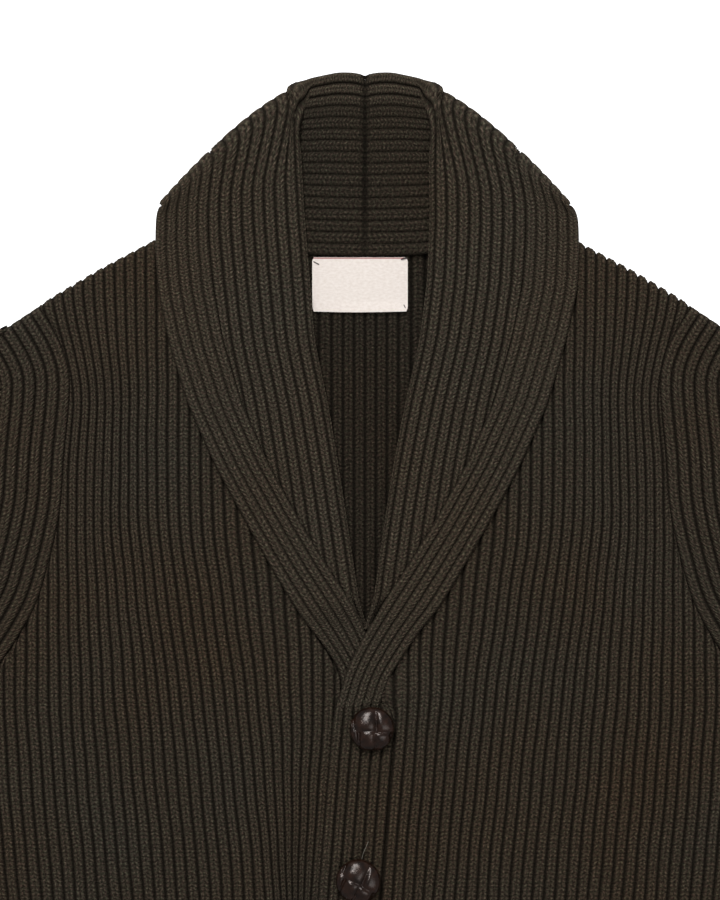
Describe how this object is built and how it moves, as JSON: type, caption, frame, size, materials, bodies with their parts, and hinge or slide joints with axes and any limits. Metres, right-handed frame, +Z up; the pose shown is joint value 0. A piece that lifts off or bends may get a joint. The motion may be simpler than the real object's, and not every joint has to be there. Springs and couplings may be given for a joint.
{
  "type": "shawl collar cardigan",
  "caption": "Heavy rib-knit cardigan with a wide shawl collar, button bands and woven leather buttons, laid flat on its back.",
  "frame": {"origin": "bottom centre of the bounding box: on the surface, midway between collar top and hem and between the cuffs", "axes": "+Z up from the surface, +Y towards the collar, +X to the wearer's left (the viewer's right)"},
  "size_m": [1.166, 0.764, 0.022],
  "materials": {
    "body_wool": "olive and brown marl rib-knit wool, dry and slightly hairy",
    "sleeve_wool": "olive and brown marl rib-knit wool, dry and slightly hairy",
    "collar_wool": "olive and brown marl rib-knit wool, dry and slightly hairy",
    "label_cloth": "blank off-white woven satin ribbon",
    "button_leather": "dark brown polished woven leather"
  },
  "bodies": {
    "root": {"back": "body_wool", "front_left": "body_wool", "front_right": "body_wool", "sleeve_left": "sleeve_wool", "sleeve_right": "sleeve_wool", "collar_left": "collar_wool", "collar_right": "collar_wool", "band_left": "body_wool", "band_right": "body_wool", "label": "label_cloth", "button_1": "button_leather", "button_2": "button_leather", "button_3": "button_leather", "button_4": "button_leather", "button_5": "button_leather"}
  },
  "joints": []
}
